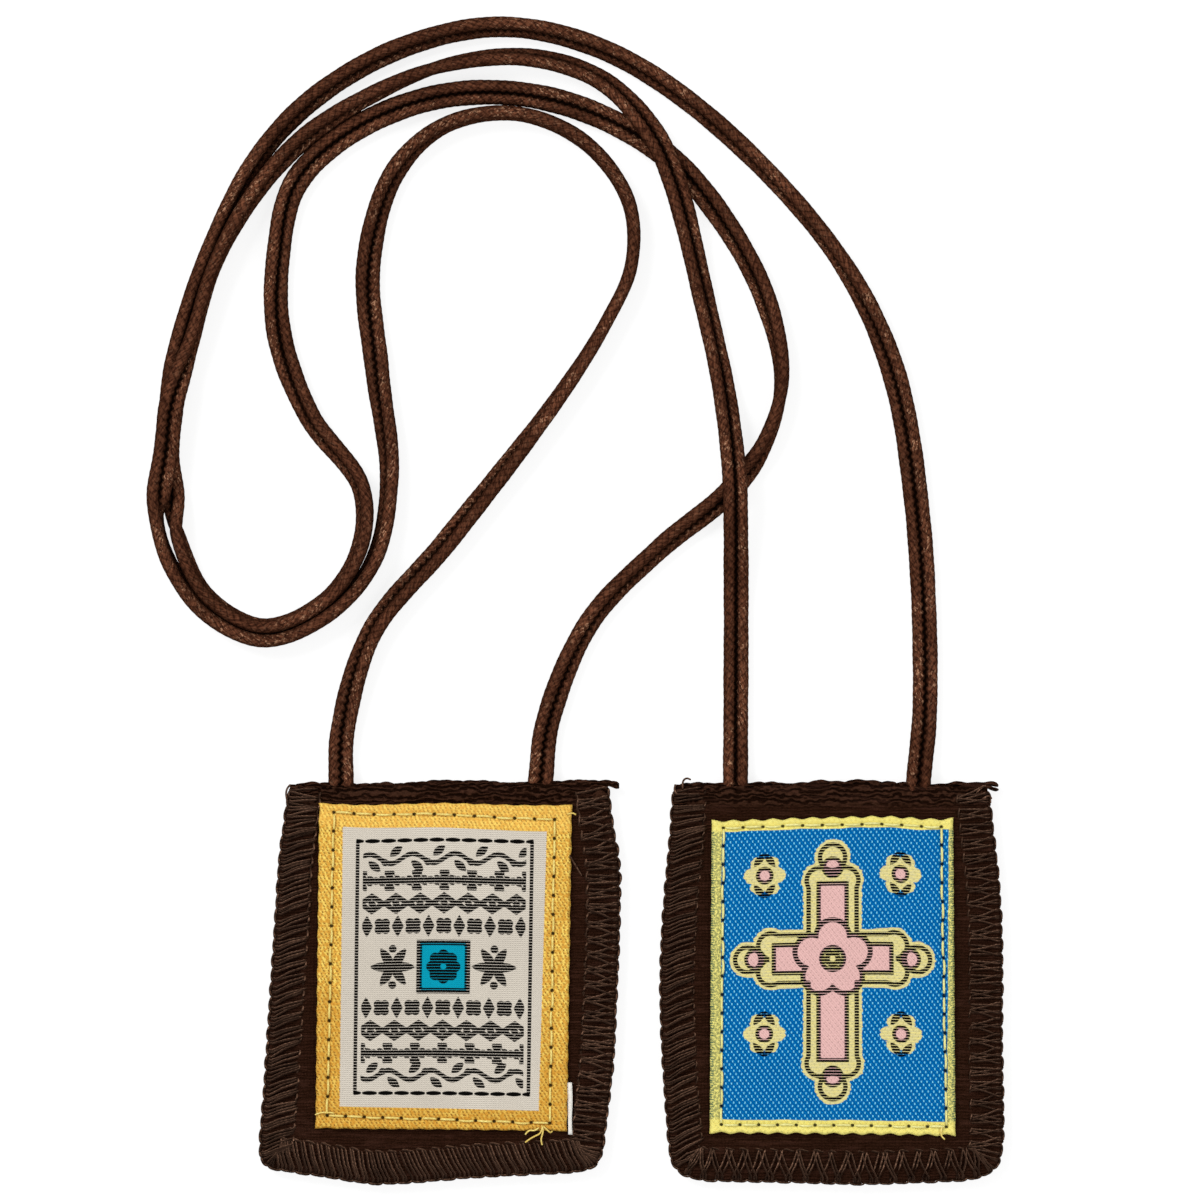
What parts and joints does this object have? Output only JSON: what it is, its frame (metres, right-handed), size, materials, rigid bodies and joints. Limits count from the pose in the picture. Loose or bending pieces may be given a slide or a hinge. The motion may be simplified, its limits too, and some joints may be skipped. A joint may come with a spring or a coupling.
{
  "type": "brown wool scapular",
  "caption": "Brown wool scapular laid flat: small folded wool panels with overlocked edges and woven labels, joined by long flat braided cords.",
  "frame": {"origin": "middle of the two panels' box, on the surface they lie on", "axes": "+X across the panels from the left one to the right one, +Y up the panels towards the cords, +Z out of the surface"},
  "size_m": [0.1278, 0.1746, 0.0057],
  "materials": {
    "brown_wool": "matte wool cloth",
    "overlock_thread": "overlocked thread",
    "gold_label": "woven label",
    "blue_label": "woven label",
    "braided_cord": "satin braid"
  },
  "bodies": {
    "root": {"left_panel_wool": "brown_wool", "left_panel_edging_left": "overlock_thread", "left_panel_edging_right": "overlock_thread", "left_panel_edging_foot": "overlock_thread", "left_panel_label": "gold_label", "right_panel_wool": "brown_wool", "right_panel_edging_left": "overlock_thread", "right_panel_edging_right": "overlock_thread", "right_panel_edging_foot": "overlock_thread", "right_panel_label": "blue_label", "left_cord": "braided_cord", "right_cord": "braided_cord"}
  },
  "joints": []
}
